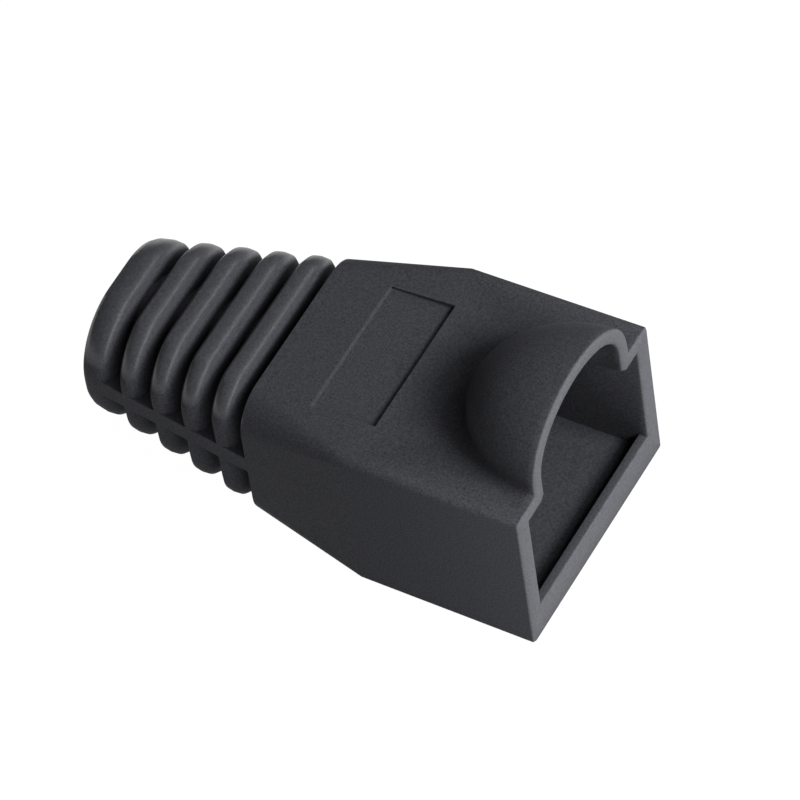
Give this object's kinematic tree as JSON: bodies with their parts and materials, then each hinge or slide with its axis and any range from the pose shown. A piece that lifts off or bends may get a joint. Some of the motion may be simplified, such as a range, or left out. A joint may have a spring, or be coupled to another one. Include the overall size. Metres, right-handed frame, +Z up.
{
  "type": "modular plug strain relief boot",
  "caption": "Slip-on strain relief boot: a box that grips the rear of a modular plug, a hood over its latch, and a ribbed tapering tail for the cable.",
  "frame": {"origin": "centre of the footprint, on the surface that the box lies on", "axes": "+X along the boot out of the mouth, +Z up through the hood, +Y to the boot's left"},
  "size_m": [0.0272, 0.014, 0.0143],
  "materials": {
    "soft_moulding": "matt soft moulding, dark grey, fine grain"
  },
  "bodies": {
    "root": {"boot": "soft_moulding"}
  },
  "joints": []
}
